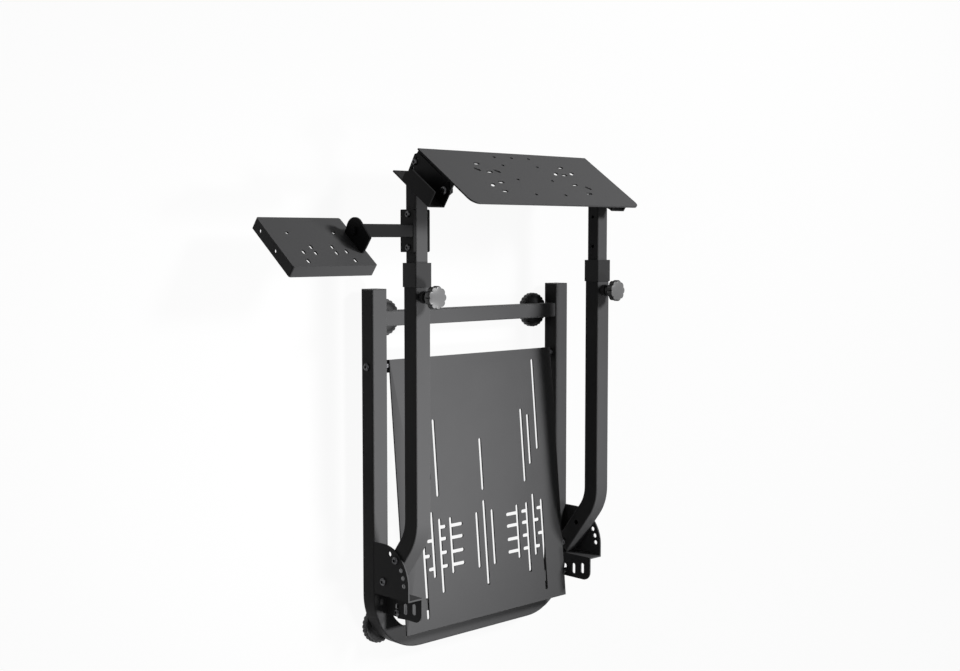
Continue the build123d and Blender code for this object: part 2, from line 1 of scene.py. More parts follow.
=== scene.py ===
"""Looks of the folded racing wheel stand: black powder-coated tube and sheet, plastic and steel.

Everything is in metres and in the part's own frame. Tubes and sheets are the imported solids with
new finishes, and the sheets have softened edges. Knobs, feet and bolts are finer pieces made
here, and the pedal board is a trimmed copy of its own solid.
"""

from __future__ import annotations

import json
import logging
import math
from collections.abc import Callable
from dataclasses import dataclass, field
from enum import Enum

import bmesh
import bpy
import numpy as np
from mathutils import Matrix, Vector

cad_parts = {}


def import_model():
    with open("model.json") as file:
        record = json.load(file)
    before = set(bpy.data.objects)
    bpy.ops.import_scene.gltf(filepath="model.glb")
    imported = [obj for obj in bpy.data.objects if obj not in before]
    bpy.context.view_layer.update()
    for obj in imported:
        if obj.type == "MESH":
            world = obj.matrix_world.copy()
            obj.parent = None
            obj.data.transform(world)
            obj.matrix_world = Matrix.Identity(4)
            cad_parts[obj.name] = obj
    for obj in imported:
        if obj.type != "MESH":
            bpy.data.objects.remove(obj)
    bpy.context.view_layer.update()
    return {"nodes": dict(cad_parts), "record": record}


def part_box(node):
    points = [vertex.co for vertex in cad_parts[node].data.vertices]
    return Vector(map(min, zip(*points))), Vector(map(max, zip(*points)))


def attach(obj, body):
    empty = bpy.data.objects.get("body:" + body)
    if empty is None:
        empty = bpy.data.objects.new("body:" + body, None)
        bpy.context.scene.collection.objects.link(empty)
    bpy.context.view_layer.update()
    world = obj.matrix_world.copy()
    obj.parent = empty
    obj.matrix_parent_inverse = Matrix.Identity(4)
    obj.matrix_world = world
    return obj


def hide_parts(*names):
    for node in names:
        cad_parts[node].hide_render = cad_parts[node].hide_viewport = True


LOG = logging.getLogger("wheel_stand")
MM = 0.001
Array = np.ndarray

# The pedal board: its slope in degrees, its sheet, and how its side flanges are trimmed. The
# bare edges are spans along the board, from its front edge.
PEDAL_SLOPE = 5.34
PEDAL_SHEET = 2.5 * MM
PEDAL_BARE_EDGES = ((-1.0 * MM, 28.0 * MM), (53.0 * MM, 432.0 * MM))
FLANGE_CUT = 2.6 * MM
FLANGE_REACH = 24.0 * MM

# The paint's rounding of a sheet's edges
EDGE_RADIUS = 0.45 * MM
EDGE_ANGLE = 50.0

HEAD_BRACKETS = ("head_bracket_left", "head_bracket_right")
# Parts given a darker copy of the powder coat: painted shade for where they sit in shadow or face
# away from the lamps
PAINTED_SHADE_NODES = ("shifter_arm", "clamp_plate", "tray_ear", *HEAD_BRACKETS)
SHEET_NODES = (
    *("hinge_bracket_left", "hinge_bracket_right", *HEAD_BRACKETS),
    *("wheel_board", "shifter_tray", "tray_ear", "clamp_plate"),
)

# Profiles of a button head: shares of its radius and of its height
HEAD_SIDE = ((0.0, 0.0), (0.97, 0.0), (1.0, 0.12))
HEAD_SOCKET = ((0.42, 1.0), (0.4032, 0.93), (0.4032, 0.35), (0.0, 0.3))
HEX_SHARE = 0.5
HEX_FADE = 0.06

# Profiles of knobs and feet: shares of a radius, and millimetres above a level
KNOB_BACK = ((0.7, 0.2), (0.95, 0.8), (1.0, 2.2))
KNOB_NECK = ((0.0, 0.0), (0.80, 0.0), (0.84, 0.5), (0.84, 3.0), (0.74, 5.0))
KNOB_THROAT = ((0.78, -2.5), (0.96, 0.6))
FOOT_SOLE = ((0.0, 0.0), (0.55, 0.0), (0.58, 0.6), (0.78, 0.6), (0.81, 0.0), (0.93, 0.0))
FOOT_RIM = ((0.98, 0.7), (1.0, 1.8))
FOOT_DISH = ((0.86, -0.3), (0.8, -1.4))
FOOT_NECK = ((1.3, -1.4), (1.15, 0.0), (1.0, 0.2))

# Depth and pitch of the threads
BOLT_THREAD = (0.12 * MM, 1.0 * MM)
KNOB_THREAD = (0.15 * MM, 1.25 * MM)


class Facing(Enum):
    """Directions that a bolt can point in."""

    RIGHT = ((0, 1, 0), (0, 0, 1), (1, 0, 0))
    LEFT = ((0, -1, 0), (0, 0, 1), (-1, 0, 0))

    def turn(self, points: Array) -> Array:
        """Turns points made along +Z so that they lie along this direction."""
        return points @ np.array(self.value, float)


class Socket:
    """One output of a node, with the arithmetic that materials are written in."""

    def __init__(self, book: "NodeBook", link: bpy.types.NodeSocket) -> None:
        """Keeps the output and the node tree it belongs to.

        Args:
            book: The node tree that the output is in.
            link: The output itself.
        """
        self.book = book
        self.link = link

    def _math(self, operation: str, *values: "Socket | float") -> "Socket":
        """Adds one Math node.

        Args:
            operation: The node's operation.
            values: Its inputs in order.

        Returns:
            The node's output.
        """
        inputs = dict(enumerate(values))
        return self.book.node("ShaderNodeMath", {"operation": operation}, inputs)

    def __add__(self, other: "Socket | float") -> "Socket":
        """Sum."""
        return self._math("ADD", self, other)

    __radd__ = __add__

    def __sub__(self, other: "Socket | float") -> "Socket":
        """Difference."""
        return self._math("SUBTRACT", self, other)

    def __mul__(self, other: "Socket | float") -> "Socket":
        """Product."""
        return self._math("MULTIPLY", self, other)

    def clamp(self, low: float, high: float) -> "Socket":
        """Keeps the value between two limits."""
        return self._math("MINIMUM", self._math("MAXIMUM", self, low), high)

    def ramp(self, low: float, high: float) -> "Socket":
        """Turns a range of values into 0 to 1, with soft ends."""
        settings = {"interpolation_type": "SMOOTHSTEP"}
        inputs = {"Value": self, "From Min": low, "From Max": high}
        return self.book.node("ShaderNodeMapRange", settings, inputs)


class NodeBook:
    """The nodes of a material or of the world, under construction."""

    def __init__(self, owner: bpy.types.Material | bpy.types.World) -> None:
        """Starts with no nodes.

        Args:
            owner: The material or world that the nodes are for.
        """
        self.owner = owner
        owner.use_nodes = True
        self.tree = owner.node_tree
        self.tree.nodes.clear()

    def node(
        self,
        kind: str,
        settings: dict[str, object] | None = None,
        inputs: dict[int | str, object] | None = None,
        output: int | str = 0,
    ) -> Socket:
        """Adds a node.

        Args:
            kind: The node's type.
            settings: Properties, which are set first.
            inputs: Values or links of its sockets, by name or number.
            output: The output that is handed back.

        Returns:
            The chosen output.
        """
        made = self.tree.nodes.new(kind)
        for key, value in (settings or {}).items():
            setattr(made, key, value)
        for key, value in (inputs or {}).items():
            socket = made.inputs[key]
            if isinstance(value, Socket):
                self.tree.links.new(value.link, socket)
            else:
                socket.default_value = value
        return Socket(self, made.outputs[output])

    def place(self) -> Socket:
        """Position on the piece, in metres."""
        return self.node("ShaderNodeTexCoord", output="Object")

    def noise(self, where: Socket, per_metre: float, detail: float = 4.0) -> Socket:
        """Cloudy noise from 0 to 1.

        Args:
            where: Position to read.
            per_metre: How many clouds there are in a metre.
            detail: Octaves.

        Returns:
            The noise.
        """
        inputs = {"Vector": where, "Scale": per_metre, "Detail": detail, "Roughness": 0.55}
        return self.node("ShaderNodeTexNoise", None, inputs)

    def grains(self, where: Socket, per_metre: float) -> Socket:
        """Distance to the middle of the nearest grain, as orange peel and powder show it."""
        return self.node("ShaderNodeTexVoronoi", None, {"Vector": where, "Scale": per_metre})

    def blend(self, factor: Socket, first: tuple, second: tuple) -> Socket:
        """Colour between two colours."""
        made = self.tree.nodes.new("ShaderNodeMix")
        made.data_type = "RGBA"
        self.tree.links.new(factor.link, made.inputs[0])
        made.inputs[6].default_value = (*first, 1.0)
        made.inputs[7].default_value = (*second, 1.0)
        return Socket(self, made.outputs[2])

    def bump(self, height: Socket, strength: float, depth: float) -> Socket:
        """Normal of a surface whose height is given.

        Args:
            height: Height from 0 to 1.
            strength: How strongly it shows.
            depth: Depth in metres of a height of 1.

        Returns:
            The normal.
        """
        inputs = {"Height": height, "Strength": strength, "Distance": depth}
        return self.node("ShaderNodeBump", None, inputs)

    def rays(self, kind: str) -> Socket:
        """1 for the rays of one kind, such as Camera, and 0 for the others."""
        return self.node("ShaderNodeLightPath", output=f"Is {kind} Ray")

    def close(self, surface: Socket, output: str = "ShaderNodeOutputMaterial") -> None:
        """Joins the surface to the output node."""
        out = self.tree.nodes.new(output)
        self.tree.links.new(surface.link, out.inputs["Surface"])

    def finish(self, shader: dict[str, object]) -> bpy.types.Material:
        """Closes the material with one Principled shader.

        Args:
            shader: The shader's inputs by name.

        Returns:
            The material.
        """
        self.close(self.node("ShaderNodeBsdfPrincipled", None, shader))
        return self.owner


@dataclass(frozen=True)
class PowderCoat:
    """Matt black powder coat, with fine orange peel and faint clouds."""

    name: str = "powder_coat"
    colour: tuple[float, float, float] = (0.092, 0.092, 0.094)
    darker: tuple[float, float, float] = (0.076, 0.076, 0.078)
    roughness: float = 0.52
    sheen: float = 0.07
    clouds_per_metre: float = 14.0
    peel_per_metre: float = 900.0
    peel_strength: float = 0.22
    peel_depth: float = 0.08 * MM

    def make(self) -> bpy.types.Material:
        """Builds the material."""
        book = NodeBook(bpy.data.materials.new(self.name))
        where = book.place()
        clouds = book.noise(where, self.clouds_per_metre)
        peel = book.noise(where, self.peel_per_metre, 2.0)
        speck = book.grains(where, self.peel_per_metre * 1.6)
        tone = (clouds * 0.75 + speck * 0.35).clamp(0.0, 1.0)
        rough = self.roughness + (clouds - 0.5) * 0.12 + (peel - 0.5) * 0.08
        return book.finish(
            {
                "Base Color": book.blend(tone, self.darker, self.colour),
                "Roughness": rough.clamp(0.3, 0.8),
                "Specular IOR Level": self.sheen,
                "Normal": book.bump(peel, self.peel_strength, self.peel_depth),
            }
        )


@dataclass(frozen=True)
class MouldedPlastic:
    """Black moulded plastic with a fine spark-eroded grain."""

    name: str = "moulded_plastic"
    colour: tuple[float, float, float] = (0.030, 0.030, 0.031)
    darker: tuple[float, float, float] = (0.022, 0.022, 0.023)
    roughness: float = 0.42
    grain_per_metre: float = 1400.0
    sheen: float = 0.30
    clouds_per_metre: float = 30.0
    grain_strength: float = 0.18
    grain_depth: float = 0.06 * MM

    def make(self) -> bpy.types.Material:
        """Builds the material."""
        book = NodeBook(bpy.data.materials.new(self.name))
        where = book.place()
        clouds = book.noise(where, self.clouds_per_metre)
        grain = book.grains(where, self.grain_per_metre)
        rough = self.roughness + (clouds - 0.5) * 0.14
        return book.finish(
            {
                "Base Color": book.blend(clouds, self.darker, self.colour),
                "Roughness": rough.clamp(0.2, 0.8),
                "Specular IOR Level": self.sheen,
                "Normal": book.bump(grain, self.grain_strength, self.grain_depth),
            }
        )


@dataclass(frozen=True)
class TurnedSteel:
    """Darkened steel with a fine grain and lighter rubbed places."""

    name: str = "turned_steel"
    colour: tuple[float, float, float] = (0.11, 0.11, 0.115)
    darker: tuple[float, float, float] = (0.030, 0.030, 0.032)
    roughness: float = 0.34
    rubs_per_metre: float = 320.0
    grain_per_metre: float = 2600.0
    grain_strength: float = 0.12
    grain_depth: float = 0.04 * MM

    def make(self) -> bpy.types.Material:
        """Builds the material."""
        book = NodeBook(bpy.data.materials.new(self.name))
        where = book.place()
        rubbed = book.noise(where, self.rubs_per_metre).ramp(0.42, 0.62)
        fine = book.noise(where, self.grain_per_metre, 2.0)
        rough = self.roughness + (fine - 0.5) * 0.2
        return book.finish(
            {
                "Base Color": book.blend(rubbed, self.darker, self.colour),
                "Metallic": 1.0,
                "Roughness": rough.clamp(0.15, 0.7),
                "Normal": book.bump(fine, self.grain_strength, self.grain_depth),
            }
        )


def ring_angles(count: int) -> Array:
    """Angles of a closed ring, in radians."""
    return np.linspace(0.0, 2.0 * math.pi, count, endpoint=False)


def turned(profile: Array, angles: Array, radius: Callable[[Array, Array], Array]) -> Array:
    """Carries a profile round +Z.

    Each point is (radius * cos u, radius * sin u, height), where radius is a function of the
    profile's own radius and of the angle u.

    Args:
        profile: Rows of radius and height, in metres.
        angles: The ring's angles.
        radius: The radius at every profile row and angle.

    Returns:
        An array of rows, ring points and coordinates.
    """
    r = radius(profile[:, :1], angles[None, :])
    z = np.broadcast_to(profile[:, 1:2], r.shape)
    return np.stack([r * np.cos(angles), r * np.sin(angles), z], axis=-1)


def plain(r: Array, u: Array) -> Array:
    """Radius of a round ring."""
    return r + 0.0 * u


def rows(table: tuple, radius: float, level: float = 0.0) -> Array:
    """Profile rows from a table of shares of a radius and millimetres above a level."""
    return np.array(table) * [radius, MM] + [0.0, level]


def hexagon(r: Array, u: Array) -> Array:
    """Radius of a hexagon whose corners are at the given radius."""
    half = math.pi / 6
    return r * math.cos(half) / np.cos((u % (2 * half)) - half)


def thread(z: Array, ring: int, radius: float, depth: float, pitch: float) -> Array:
    """Rod along +Z whose radius waves along its length by one pitch a turn.

    Args:
        z: Heights of its rings.
        ring: How many points a ring has.
        radius: Radius of the crests.
        depth: Half the height of the wave.
        pitch: Length of one wave.

    Returns:
        An array of rows, ring points and coordinates, closed at both ends.
    """
    u = ring_angles(ring)
    wave = depth * np.cos(2 * math.pi * z[:, None] / pitch - u[None, :])
    r = radius - depth + wave
    r[0, :] = 0.0
    r[-1, :] = 0.0
    height = np.broadcast_to(z[:, None], r.shape)
    return np.stack([r * np.cos(u), r * np.sin(u), height], axis=-1)


def arc_profile(r0: float, z0: float, r1: float, z1: float, steps: int) -> Array:
    """Quarter ellipse that leaves the first point upwards and ends level at the second."""
    t = np.linspace(0.0, math.pi / 2, steps)
    return np.stack([r1 + (r0 - r1) * np.cos(t), z0 + (z1 - z0) * np.sin(t)], axis=-1)


class Shell:
    """A mesh put together from grids of points."""

    def __init__(self) -> None:
        """Starts with nothing."""
        self.points: list[Array] = []
        self.faces: list[Array] = []
        self.slots: list[Array] = []
        self.count = 0

    def grid(self, points: Array, slot: int = 0) -> None:
        """Adds a grid whose rows are closed rings.

        The four corners of cell (i, j) are points (i, j), (i, j+1), (i+1, j+1) and (i+1, j).

        Args:
            points: Rows, ring points and coordinates.
            slot: The material slot of its faces.
        """
        rows, ring = points.shape[:2]
        index = np.arange(rows * ring).reshape(rows, ring) + self.count
        after = np.roll(index, -1, axis=1)
        quads = np.stack([index[:-1], after[:-1], after[1:], index[1:]], axis=-1).reshape(-1, 4)
        self.points.append(points.reshape(-1, 3))
        self.faces.append(quads)
        self.slots.append(np.full(len(quads), slot))
        self.count += rows * ring

    def shift(self, by: Array) -> None:
        """Moves everything."""
        self.points = [block + by for block in self.points]

    def twin(self, reach: float) -> None:
        """Moves everything along +Y and adds a copy as far the other way.

        Args:
            reach: How far each of the two is from the middle, in metres.
        """
        shift = np.array([0.0, reach, 0.0])
        self.faces += [faces + self.count for faces in self.faces]
        self.points = [p + shift for p in self.points] + [p - shift for p in self.points]
        self.slots += self.slots
        self.count *= 2

    def build(
        self,
        name: str,
        materials: list[bpy.types.Material],
        sharp: float = 38.0,
    ) -> bpy.types.Object:
        """Makes the object, with poles closed and faces pointing outwards.

        Args:
            name: The piece's name.
            materials: Its material slots.
            sharp: Angle in degrees above which an edge stays sharp.

        Returns:
            The object.
        """
        mesh = bpy.data.meshes.new(name)
        points = np.concatenate(self.points)
        mesh.from_pydata(points.tolist(), [], np.concatenate(self.faces).tolist())
        mesh.polygons.foreach_set("material_index", np.concatenate(self.slots).astype(np.int32))
        book = bmesh.new()
        book.from_mesh(mesh)
        bmesh.ops.remove_doubles(book, verts=book.verts, dist=1e-6)
        bmesh.ops.dissolve_degenerate(book, edges=book.edges, dist=1e-7)
        bmesh.ops.recalc_face_normals(book, faces=book.faces)
        book.to_mesh(mesh)
        book.free()
        mesh.shade_smooth()
        mesh.set_sharp_from_angle(angle=math.radians(sharp))
        made = bpy.data.objects.new(name, mesh)
        bpy.context.collection.objects.link(made)
        for material in materials:
            mesh.materials.append(material)
        return made


@dataclass
class Fastener:
    """A bolt along X that stands for one packed bolt: shank, domed head and sometimes a nut.

    The collar's span is measured from the head's outer face, and is negative towards the nut.
    """

    node: str
    steel: bpy.types.Material
    shank: float
    head: float
    head_height: float
    nut_height: float = 0.0
    pair: bool = False
    collar: float = 0.0
    collar_span: tuple[float, float] = (0.0, 0.0)
    collar_bevel: float = 0.4 * MM
    ring: int = 48
    rings_per_pitch: int = 6

    def head_rows(self) -> Array:
        """Profile of a button head from its seat to its socket's floor."""
        r, h = self.head, self.head_height
        dome = arc_profile(r, h * 0.2, r * 0.55, h, 9)
        return np.concatenate([np.array(HEAD_SIDE) * [r, h], dome, np.array(HEAD_SOCKET) * [r, h]])

    def nut_rows(self) -> Array:
        """Profile of a nut with bevelled corners, from its outer face to its seat."""
        edge, h = self.head, self.nut_height
        bore, land = self.shank * 0.9, edge * 0.93
        side = [[land, h], [edge, h * 0.86], [edge, h * 0.14], [land, 0.0]]
        return np.array([[bore, h], *side, [bore, 0.0]])

    def collar_rows(self) -> Array:
        """Profile of a spacer with bevelled corners."""
        (a, b), r, bevel = self.collar_span, self.collar, self.collar_bevel
        side = [[r - bevel, a], [r, a + bevel], [r, b - bevel], [r - bevel, b]]
        return np.array([[0.0, a], *side, [0.0, b]])

    def six_sided(self, r: Array, u: Array) -> Array:
        """Radius that is a hexagon inside the socket's edge and round outside it."""
        inside = np.clip((self.head * HEX_SHARE - r) / (self.head * HEX_FADE), 0.0, 1.0)
        return r * (1 - inside) + hexagon(r, u) * inside

    def nut_radius(self, r: Array, u: Array) -> Array:
        """Radius of a hexagonal nut, whose small radii stay round."""
        return np.where(r > self.shank * 1.2, hexagon(r, u), plain(r, u))

    def threaded(self, low: float, high: float) -> Array:
        """Threaded shank between two heights."""
        depth, pitch = BOLT_THREAD
        steps = max(4, int((high - low) / pitch * self.rings_per_pitch))
        return thread(np.linspace(low, high, steps), self.ring, self.shank, depth, pitch)

    def make(self, body: str) -> bpy.types.Object:
        """Builds the bolt in place of its node.

        Args:
            body: The body it rides on.

        Returns:
            The piece.
        """
        low, high = (np.array(v, float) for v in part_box(self.node))
        middle = (low + high) / 2
        outward = Facing.RIGHT if middle[0] > mid_x() else Facing.LEFT
        far = (high[0] - low[0]) / 2
        shell = Shell()
        u = ring_angles(self.ring)
        shell.grid(turned(self.head_rows() + [0.0, far - self.head_height], u, self.six_sided))
        shell.grid(self.threaded(-far, far - self.head_height * 0.9))
        if self.nut_height:
            shell.grid(turned(self.nut_rows() + [0.0, -far], u, self.nut_radius))
        if self.collar:
            shell.grid(turned(self.collar_rows() + [0.0, far], u, plain))
        shell.points = [outward.turn(block) for block in shell.points]
        shell.shift(middle)
        if self.pair:
            shell.twin((high[1] - low[1]) / 2 - self.head)
        piece = shell.build("detail_" + self.node, [self.steel])
        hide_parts(self.node)
        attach(piece, body)
        LOG.info("%s rides on %s", piece.name, body)
        return piece


def carve(piece: bpy.types.Object, corners: list[Array]) -> None:
    """Cuts a box out of a piece's own mesh.

    Args:
        piece: The piece, whose mesh is replaced.
        corners: The box's eight corners, counted like a binary number.
    """
    mesh = bpy.data.meshes.new("cutter")
    ends = [(0, 1, 3, 2), (4, 6, 7, 5)]
    sides = [(0, 4, 5, 1), (2, 3, 7, 6), (0, 2, 6, 4), (1, 5, 7, 3)]
    mesh.from_pydata([tuple(corner) for corner in corners], [], ends + sides)
    book = bmesh.new()
    book.from_mesh(mesh)
    bmesh.ops.recalc_face_normals(book, faces=book.faces)
    book.to_mesh(mesh)
    book.free()
    cutter = bpy.data.objects.new("cutter", mesh)
    bpy.context.collection.objects.link(cutter)
    cut = piece.modifiers.new("cut", "BOOLEAN")
    cut.operation = "DIFFERENCE"
    cut.solver = "EXACT"
    cut.object = cutter
    bpy.context.view_layer.update()
    depsgraph = bpy.context.evaluated_depsgraph_get()
    result = bpy.data.meshes.new_from_object(piece.evaluated_get(depsgraph))
    piece.modifiers.remove(cut)
    piece.data = result
    bpy.data.objects.remove(cutter)


def mid_x() -> float:
    """X of the stand's middle line, from its base frame."""
    low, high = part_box("base_frame")
    return (low[0] + high[0]) / 2


@dataclass
class ClampKnob:
    """Lobed clamp knob: scalloped rim, domed cap, waisted neck and a threaded screw."""

    node: str
    plastic: bpy.types.Material
    # The face's plastic, lighter than the rest: a painted highlight for the reflection on the
    # knob's front
    cap: bpy.types.Material
    steel: bpy.types.Material
    lobes: int = 9
    radius: float = 18.6 * MM
    valley: float = 3.0 * MM
    dome: float = 1.8 * MM
    thickness: float = 13.0 * MM
    neck: float = 10.0 * MM
    neck_length: float = 12.9 * MM
    screw: float = 4.0 * MM
    ring: int = 216
    screw_ring: int = 32
    screw_rings: int = 90

    def lobed(self, r: Array, u: Array) -> Array:
        """Radius less a valley between each two lobes, fading towards the middle."""
        bump = np.abs(np.cos(self.lobes * u / 2)) ** 0.6
        weight = np.clip((r / self.radius - 0.62) / 0.38, 0.0, 1.0) ** 1.5
        return r - self.valley * weight * (1 - bump)

    def make(self, body: str) -> bpy.types.Object:
        """Builds the knob in place of its node.

        Args:
            body: The body it rides on.

        Returns:
            The piece.
        """
        low, high = (np.array(v, float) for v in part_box(self.node))
        centre = (low + high) / 2
        top = high[2] - self.dome
        back = high[2] - self.thickness
        low_neck = back - self.neck_length
        edge = 0.92 * self.radius
        throat = rows(KNOB_THROAT, self.neck, back)
        rim = np.concatenate(
            [
                throat[-1:],
                rows(KNOB_BACK, self.radius, back),
                rows(((1.0, -1.8),), self.radius, top),
                arc_profile(self.radius, top - 1.6 * MM, edge, top, 6),
            ]
        )
        inward = np.linspace(1.0, 0.0, 14)
        face = np.stack([edge * inward, top + self.dome * (1 - inward**2)], axis=-1)
        neck = np.concatenate([rows(KNOB_NECK, self.neck, low_neck), throat])
        u = ring_angles(self.ring)
        shell = Shell()
        shell.grid(turned(rim, u, self.lobed), 0)
        # The face gets the lighter plastic as a painted highlight
        shell.grid(turned(face, u, self.lobed), 1)
        shell.grid(turned(neck, u, plain), 0)
        z = np.linspace(low[2], low_neck + 0.2 * MM, self.screw_rings)
        shell.grid(thread(z, self.screw_ring, self.screw, *KNOB_THREAD), 2)
        shell.shift(np.array([centre[0], centre[1], 0.0]))
        piece = shell.build("detail_" + self.node, [self.plastic, self.cap, self.steel], 50.0)
        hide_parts(self.node)
        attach(piece, body)
        LOG.info("%s rides on %s", piece.name, body)
        return piece


@dataclass
class LevellingFoot:
    """Round foot with a gripped rim, a dished face and a stepped neck."""

    node: str
    rubber: bpy.types.Material
    grips: int = 24
    radius: float = 30.8 * MM
    grip_depth: float = 1.5 * MM
    thickness: float = 12.0 * MM
    neck: float = 12.0 * MM
    ring: int = 288

    def gripped(self, r: Array, u: Array) -> Array:
        """Radius less a rounded groove between each two grips, only near the rim."""
        groove = np.clip(0.5 - 0.5 * np.cos(self.grips * u), 0.0, 1.0) ** 2.2
        weight = np.clip((r / self.radius - 0.86) / 0.1, 0.0, 1.0)
        return r - self.grip_depth * weight * groove

    def make(self, body: str) -> bpy.types.Object:
        """Builds the foot in place of its node.

        Args:
            body: The body it rides on.

        Returns:
            The piece.
        """
        low, high = (np.array(v, float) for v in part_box(self.node))
        centre = (low + high) / 2
        r, t = self.radius, self.thickness
        top = high[2] - low[2] - 0.05 * MM
        profile = np.concatenate(
            [
                rows(FOOT_SOLE + FOOT_RIM, r),
                rows(((1.0, -2.6),), r, t),
                arc_profile(r, t - 2.4 * MM, r * 0.93, t - 0.4 * MM, 5),
                rows(FOOT_DISH, r, t),
                rows(FOOT_NECK, self.neck, t),
                rows(((1.0, 0.0), (0.0, 0.0)), self.neck, top),
            ]
        )
        shell = Shell()
        shell.grid(turned(profile, ring_angles(self.ring), self.gripped))
        shell.shift(np.array([centre[0], centre[1], low[2]]))
        piece = shell.build("detail_" + self.node, [self.rubber], 44.0)
        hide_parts(self.node)
        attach(piece, body)
        LOG.info("%s rides on %s", piece.name, body)
        return piece


@dataclass
class Stand:
    """The whole stand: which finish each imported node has, and its finer pieces."""

    nodes: dict[str, bpy.types.Object]
    finishes: dict[str, bpy.types.Material] = field(default_factory=dict)

    def make_finishes(self) -> None:
        """Builds every material once."""
        kinds = {
            "frame_paint": PowderCoat(),
            # A much darker copy of the powder coat: painted shade for the parts that sit in shadow
            "painted_shade_coat": PowderCoat(
                "painted_shade_coat",
                (0.009, 0.009, 0.0095),
                (0.006, 0.006, 0.0065),
                roughness=0.46,
            ),
            "black_plastic": MouldedPlastic(),
            "foot_rubber": MouldedPlastic(
                "foot_rubber",
                (0.040, 0.040, 0.041),
                (0.028, 0.028, 0.029),
                roughness=0.55,
                grain_per_metre=1100.0,
            ),
            "sleeve_plastic": MouldedPlastic(
                "sleeve_plastic",
                (0.030, 0.030, 0.031),
                (0.025, 0.025, 0.026),
                roughness=0.5,
                grain_per_metre=1500.0,
                sheen=0.15,
            ),
            # A lighter plastic for the knob's face: painted highlight for the reflection on its
            # front
            "knob_cap_painted_highlight": MouldedPlastic(
                "knob_cap_painted_highlight",
                (0.15, 0.15, 0.152),
                (0.13, 0.13, 0.132),
                roughness=0.36,
                grain_per_metre=1700.0,
            ),
            "bolt_steel": TurnedSteel(),
        }
        self.finishes = {name: kind.make() for name, kind in kinds.items()}

    def dress(self, subparts: list[dict[str, str]]) -> None:
        """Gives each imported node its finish.

        Args:
            subparts: The record's list of nodes and slots.
        """
        for row in subparts:
            name = row["node"]
            finish = row["material_slot"]
            if name.startswith("sleeve"):
                finish = "sleeve_plastic"
            # Parts that sit in shadow get the darker coat as painted shade
            if name in PAINTED_SHADE_NODES:
                finish = "painted_shade_coat"
            mesh = self.nodes[name].data
            mesh.materials.clear()
            mesh.materials.append(self.finishes[finish])
            if name in SHEET_NODES:
                self.soften(self.nodes[name])

    def trim_pedal_board(self) -> None:
        """Cuts the pedal board's side flanges back to an ear at each of its bolts.

        The photograph shows bare edges between the ears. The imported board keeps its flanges.
        """
        mesh = self.nodes["pedal_board"].data.copy()
        mesh.materials.clear()
        mesh.materials.append(self.finishes["frame_paint"])
        piece = bpy.data.objects.new("detail_pedal_board", mesh)
        bpy.context.collection.objects.link(piece)
        low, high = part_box("pedal_board")
        fall = math.radians(PEDAL_SLOPE)
        down = np.array([0.0, math.cos(fall), -math.sin(fall)])
        normal = np.array([0.0, math.sin(fall), math.cos(fall)])
        front = np.array([0.0, low[1], high[2]])
        for x in (low[0], high[0]):
            for start, end in PEDAL_BARE_EDGES:
                corners = [
                    front + down * s + normal * v + [x + side, 0.0, 0.0]
                    for side in (-FLANGE_CUT, FLANGE_CUT)
                    for s in (start, end)
                    for v in (-FLANGE_REACH, -PEDAL_SHEET)
                ]
                carve(piece, corners)
        self.soften(piece)
        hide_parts("pedal_board")
        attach(piece, "pedals")

    def soften(self, piece: bpy.types.Object) -> None:
        """Rounds the sharp edges of folded sheet a little, as paint does."""
        rounded = piece.modifiers.new("paint_edge", "BEVEL")
        rounded.limit_method = "ANGLE"
        rounded.angle_limit = math.radians(EDGE_ANGLE)
        rounded.width = EDGE_RADIUS
        rounded.segments = 2

    def fasten(self) -> None:
        """Builds bolts, knobs and feet in place of their plain solids."""
        steel = self.finishes["bolt_steel"]
        rubber = self.finishes["foot_rubber"]
        plastics = (self.finishes["black_plastic"], self.finishes["knob_cap_painted_highlight"])
        large = {"steel": steel, "shank": 4.0 * MM, "head": 6.5 * MM, "head_height": 4.0 * MM}
        small = {"steel": steel, "shank": 3.0 * MM, "head": 5.0 * MM, "head_height": 3.0 * MM}
        flat = {"steel": steel, "shank": 3.0 * MM, "head": 6.5 * MM, "head_height": 3.2 * MM}
        spacer = {"collar": 8.0 * MM, "collar_span": (-42.95 * MM, -34.0 * MM)}
        for side in ("left", "right"):
            pivot = Fastener("pivot_bolt_" + side, **large, nut_height=3.2 * MM)
            pivot.make("base")
            Fastener("lock_bolt_" + side, **{**large, "shank": 3.9 * MM}).make("base")
            tilt = Fastener("tilt_bolt_" + side, **large, nut_height=8.0 * MM)
            tilt.make("head")
            Fastener("tilt_lock_" + side, **small).make("head")
            pedal = Fastener("pedal_bolt_" + side, **large, **spacer, nut_height=4.0 * MM)
            pedal.make("base")
            Fastener("pedal_lock_" + side, **flat).make("base")
            ClampKnob("knob_" + side, *plastics, steel).make("clamp_" + side)
            for end in ("front", "rear"):
                LevellingFoot(f"foot_{end}_{side}", rubber).make("base")
        Fastener("clamp_bolts", **small, nut_height=3.0 * MM, pair=True).make("head")


@dataclass(frozen=True)
class Lamp:
    """One soft lamp: a square, or a round spot where it has a beam.

    The size is the square's side or the spot's radius, in metres, and the beam is the angle of
    the spot's cone, in degrees. A spot's light fades towards the rim of its cone.
    """

    name: str
    place: tuple[float, float, float]
    aim: tuple[float, float, float]
    size: float
    watts: float
    beam: float = 0.0

    def hang(self) -> None:
        """Hangs the lamp and points it."""
        data = bpy.data.lights.new(self.name, "SPOT" if self.beam else "AREA")
        data.energy = self.watts
        if self.beam:
            data.shadow_soft_size = self.size
            data.spot_size = math.radians(self.beam)
            data.spot_blend = 1.0
        else:
            data.size = self.size
        made = bpy.data.objects.new(self.name, data)
        bpy.context.collection.objects.link(made)
        away = Vector(self.place) - Vector(self.aim)
        made.rotation_euler = away.to_track_quat("Z", "Y").to_euler()
        made.location = self.place


